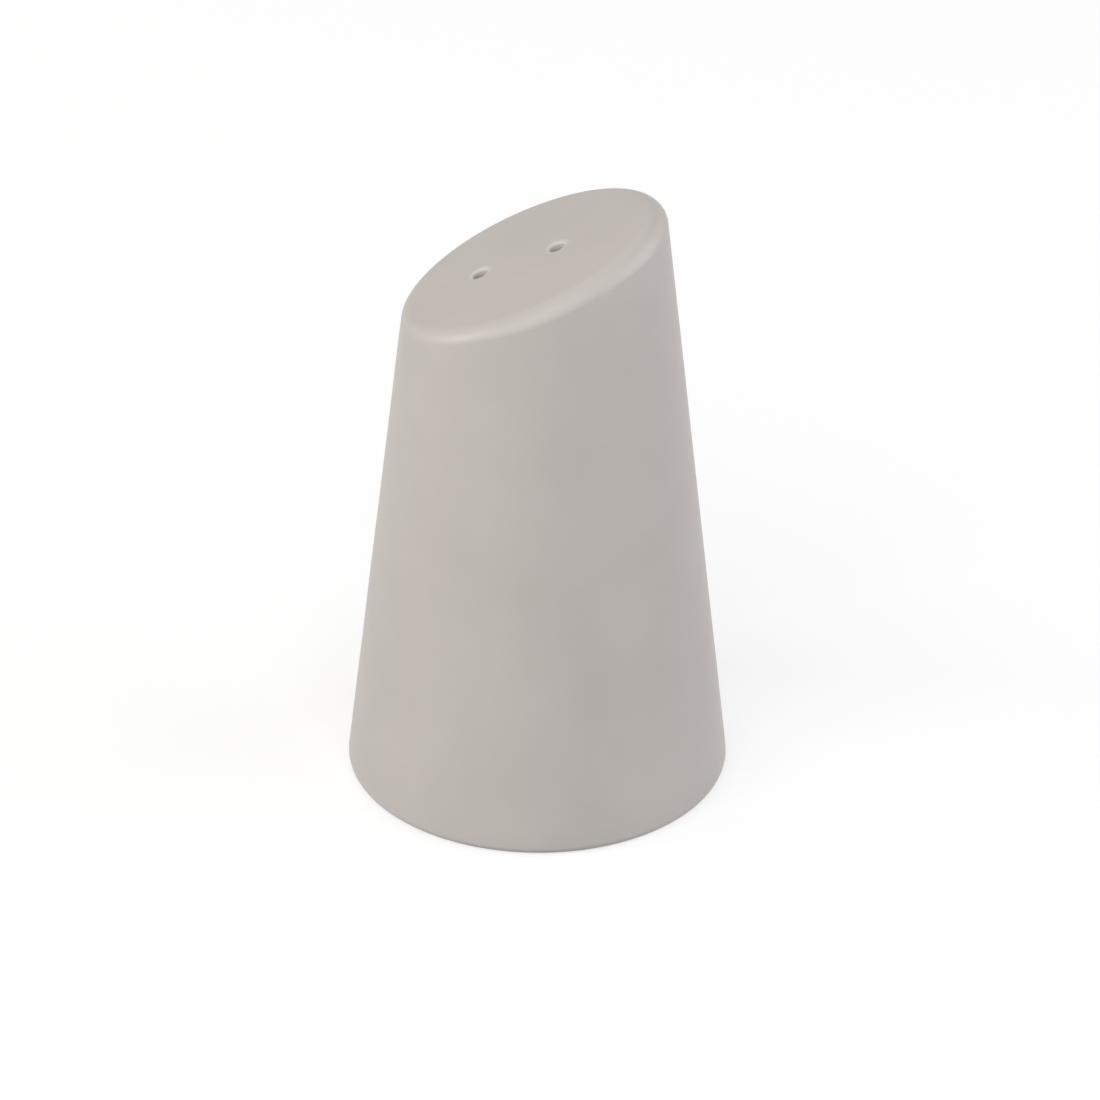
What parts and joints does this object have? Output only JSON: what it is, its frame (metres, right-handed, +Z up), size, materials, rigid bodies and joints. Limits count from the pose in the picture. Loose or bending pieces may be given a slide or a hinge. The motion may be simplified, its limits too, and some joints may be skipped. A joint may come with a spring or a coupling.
{
  "type": "salt shaker",
  "caption": "Ceramic salt shaker: a tapered round body with a slanted top, small pour holes in the slant, and a soft pull-out stopper in its hollow base.",
  "frame": {"origin": "on the table, under the middle of the foot ring", "axes": "+Z up along the axis of the tapered body; the slanted top rises toward +X; the plane Y = 0 is the plane of symmetry, through both pour holes"},
  "size_m": [0.0498, 0.0498, 0.0819],
  "materials": {
    "satin_glaze": "satin-matt warm light grey glaze",
    "stopper_silicone": "milky soft silicone"
  },
  "bodies": {
    "body": {"shaker_body": "satin_glaze"},
    "stopper": {"filler_stopper": "stopper_silicone"}
  },
  "joints": [
    {"name": "stopper_pull", "type": "slide", "parent": "body", "child": "stopper", "axis": [0, 0, -1], "range_m": [0, 0.035]}
  ]
}
